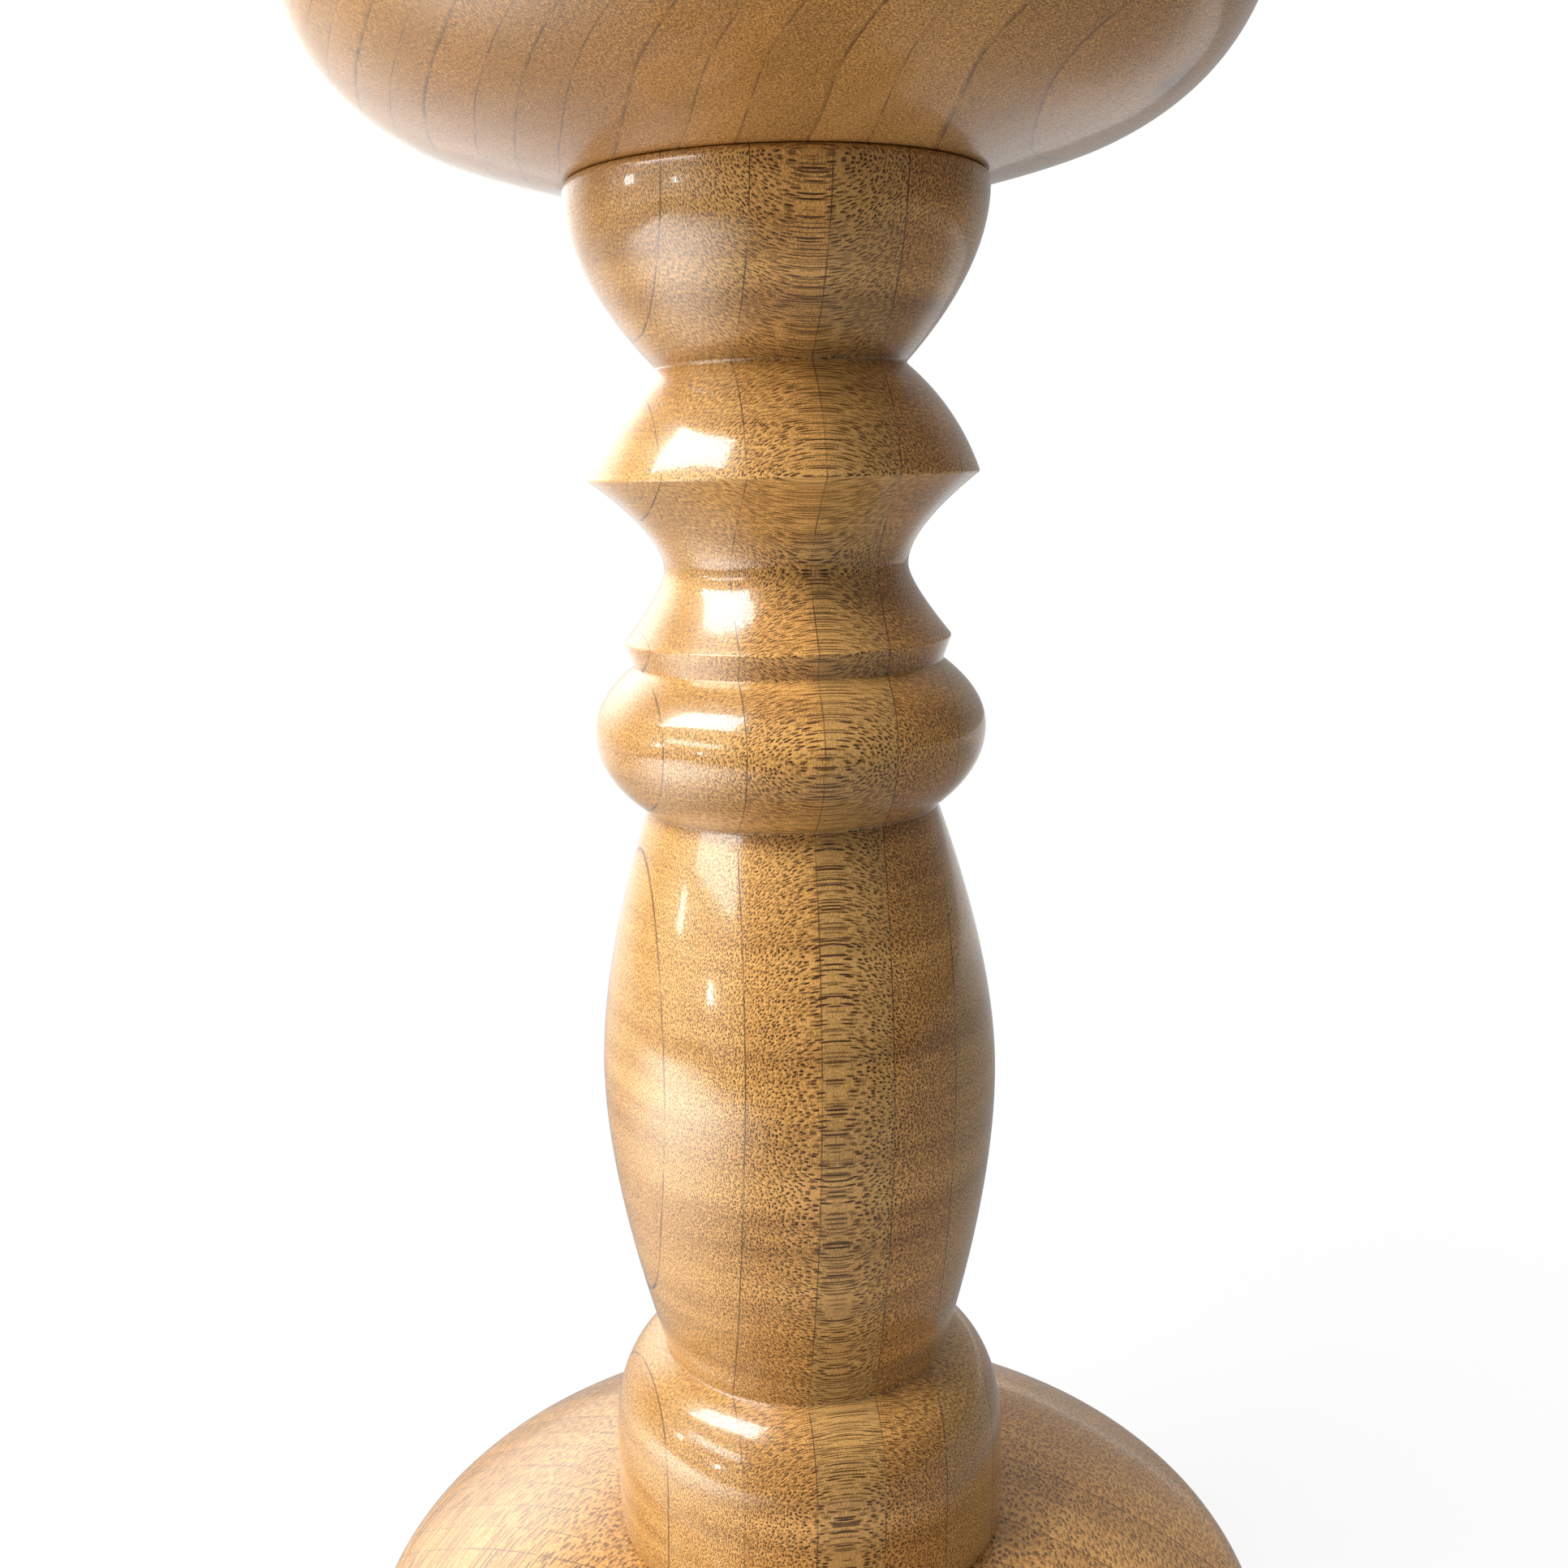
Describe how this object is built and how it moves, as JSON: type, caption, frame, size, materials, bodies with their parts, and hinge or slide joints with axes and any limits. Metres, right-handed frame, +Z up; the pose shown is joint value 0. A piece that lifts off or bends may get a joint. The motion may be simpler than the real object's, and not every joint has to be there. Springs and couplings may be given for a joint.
{
  "type": "candlestick",
  "caption": "Turned hardwood candlestick: a baluster stem on a domed base carries a bowl-shaped cup with a lift-out metal liner for a pillar candle.",
  "frame": {"origin": "centre of the felt's underside, where the candlestick stands", "axes": "+Z up along the turning axis; +X to the right in the picture's view"},
  "size_m": [0.1046, 0.1046, 0.2113],
  "materials": {
    "maple": "gloss clear lacquer over hard maple",
    "liner_brass": "spun, satin",
    "screw_steel": "bright zinc",
    "felt": "pressed wool felt"
  },
  "bodies": {
    "candlestick": {"base": "maple", "stem": "maple", "cup": "maple", "base_screw": "screw_steel", "base_washer": "screw_steel", "cup_screw": "screw_steel", "felt_pad": "felt"},
    "liner": {"candle_liner": "liner_brass"}
  },
  "joints": [
    {"name": "liner_lift", "type": "slide", "parent": "candlestick", "child": "liner", "axis": [0, 0, 1], "range_m": [0, 0.03]}
  ]
}
